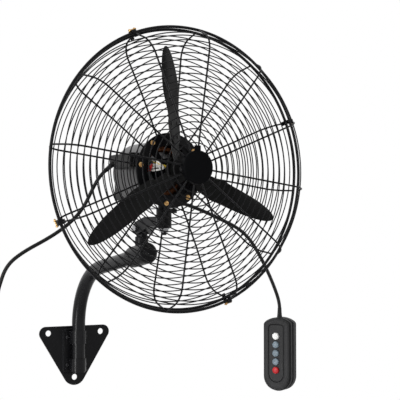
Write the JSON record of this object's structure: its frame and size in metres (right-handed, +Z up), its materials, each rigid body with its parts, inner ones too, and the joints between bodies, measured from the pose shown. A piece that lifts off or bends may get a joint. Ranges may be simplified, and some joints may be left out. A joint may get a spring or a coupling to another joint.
{
  "type": "wall mounted fan",
  "caption": "Wall fan: black wire guard, three blades, dark motor on a tilting and swinging neck, bent tube arm on a wall plate, and a corded push-button pendant control.",
  "frame": {"origin": "back face of the wall plate, midway between the two upper screw holes", "axes": "+Y points into the wall, +Z up, +X to the right as seen from the room"},
  "size_m": [0.6517, 0.541, 0.7128],
  "materials": {
    "frame_black": "satin",
    "guard_black": "satin",
    "motor_grey": "satin",
    "blade_black": "satin",
    "yellow_zinc": "satin",
    "steel": "brushed",
    "laminations": "satin",
    "copper": "gloss",
    "lead_wires": "gloss",
    "black_plastic": "matte",
    "cord_rubber": "matte",
    "pendant_plastic": "matte",
    "button_white": "satin",
    "button_blue": "satin",
    "button_red": "satin"
  },
  "bodies": {
    "base": {"wall_plate": "frame_black", "arm_straps": "frame_black", "strap_screws": "steel", "arm_tube": "frame_black", "elbow_casting": "frame_black", "elbow_set_screw": "steel"},
    "tilt": {"tilt_bracket": "frame_black", "tilt_bolt": "steel", "tilt_wing_nut": "steel", "swivel_washer": "steel"},
    "head": {"swivel_post": "frame_black", "post_nut": "steel", "motor_shell": "motor_grey", "motor_front_bell": "guard_black", "motor_rear_bell": "guard_black", "motor_bearings": "steel", "stator_core": "laminations", "stator_winding": "copper", "motor_leads": "lead_wires", "terminal_box": "black_plastic", "mains_gland": "cord_rubber", "drive_housing": "black_plastic", "drive_motor": "black_plastic", "rear_guard": "guard_black", "rear_guard_plate": "guard_black", "guard_plate_screws": "yellow_zinc", "front_guard": "guard_black", "front_cap": "guard_black", "cap_back_plate": "guard_black", "cap_screw": "steel", "rim_clamps": "guard_black", "clamp_screws": "yellow_zinc", "mains_cord": "cord_rubber", "mains_coil": "cord_rubber", "coil_tie": "cord_rubber", "mains_plug": "cord_rubber", "pendant_gland": "cord_rubber", "pendant_cord": "cord_rubber", "pendant_bush": "cord_rubber", "pendant_front_shell": "pendant_plastic", "pendant_rear_shell": "pendant_plastic", "pendant_panel": "pendant_plastic", "pendant_switch_block": "pendant_plastic", "pendant_screws": "steel"},
    "rotor": {"rotor_shaft": "steel", "rotor_core": "laminations", "fan_spider": "blade_black", "spider_set_screw": "steel", "blade_1": "blade_black", "blade_2": "blade_black", "blade_3": "blade_black", "blade_rivets": "steel"},
    "crank": {"drive_crank": "steel"},
    "link": {"drive_link": "steel"},
    "pendant_button_1": {"pendant_button_1": "button_white"},
    "pendant_button_2": {"pendant_button_2": "button_blue"},
    "pendant_button_3": {"pendant_button_3": "button_blue"},
    "pendant_button_4": {"pendant_button_4": "button_blue"},
    "pendant_button_5": {"pendant_button_5": "button_red"}
  },
  "joints": [
    {"name": "tilt", "type": "hinge", "parent": "base", "child": "tilt", "pos_m": [0, -0.318, 0.226], "axis": [1, 0, 0], "range_deg": [-20, 20]},
    {"name": "swing", "type": "hinge", "parent": "tilt", "child": "head", "pos_m": [0, -0.408, 0.244], "axis": [0, 0, 1], "range_deg": [-40, 40]},
    {"name": "fan_spin", "type": "hinge", "parent": "head", "child": "rotor", "pos_m": [0, -0.478, 0.333], "axis": [0, -1, 0], "continuous": true},
    {"name": "crank_turn", "type": "hinge", "parent": "head", "child": "crank", "pos_m": [0, -0.281, 0.2715], "axis": [0, 0, 1], "range_deg": [-60.5, 60.5]},
    {"name": "link_turn", "type": "hinge", "parent": "crank", "child": "link", "pos_m": [0.01485, -0.281, 0.268], "axis": [0, 0, 1], "range_deg": [-60.5, 60.5]},
    {"name": "button_1_press", "type": "slide", "parent": "head", "child": "pendant_button_1", "axis": [0.866, 0.5, 0], "range_m": [0, 0.003], "stiffness_N_per_m": 300, "springref_m": -0.002},
    {"name": "button_2_press", "type": "slide", "parent": "head", "child": "pendant_button_2", "axis": [0.866, 0.5, 0], "range_m": [0, 0.003], "stiffness_N_per_m": 300, "springref_m": -0.002},
    {"name": "button_3_press", "type": "slide", "parent": "head", "child": "pendant_button_3", "axis": [0.866, 0.5, 0], "range_m": [0, 0.003], "stiffness_N_per_m": 300, "springref_m": -0.002},
    {"name": "button_4_press", "type": "slide", "parent": "head", "child": "pendant_button_4", "axis": [0.866, 0.5, 0], "range_m": [0, 0.003], "stiffness_N_per_m": 300, "springref_m": -0.002},
    {"name": "button_5_press", "type": "slide", "parent": "head", "child": "pendant_button_5", "axis": [0.866, 0.5, 0], "range_m": [0, 0.003], "stiffness_N_per_m": 300, "springref_m": -0.002}
  ],
  "couplings": [
    {"joint": "crank_turn", "follows": "swing", "ratio": -1.5},
    {"joint": "link_turn", "follows": "swing", "ratio": 1.5}
  ]
}
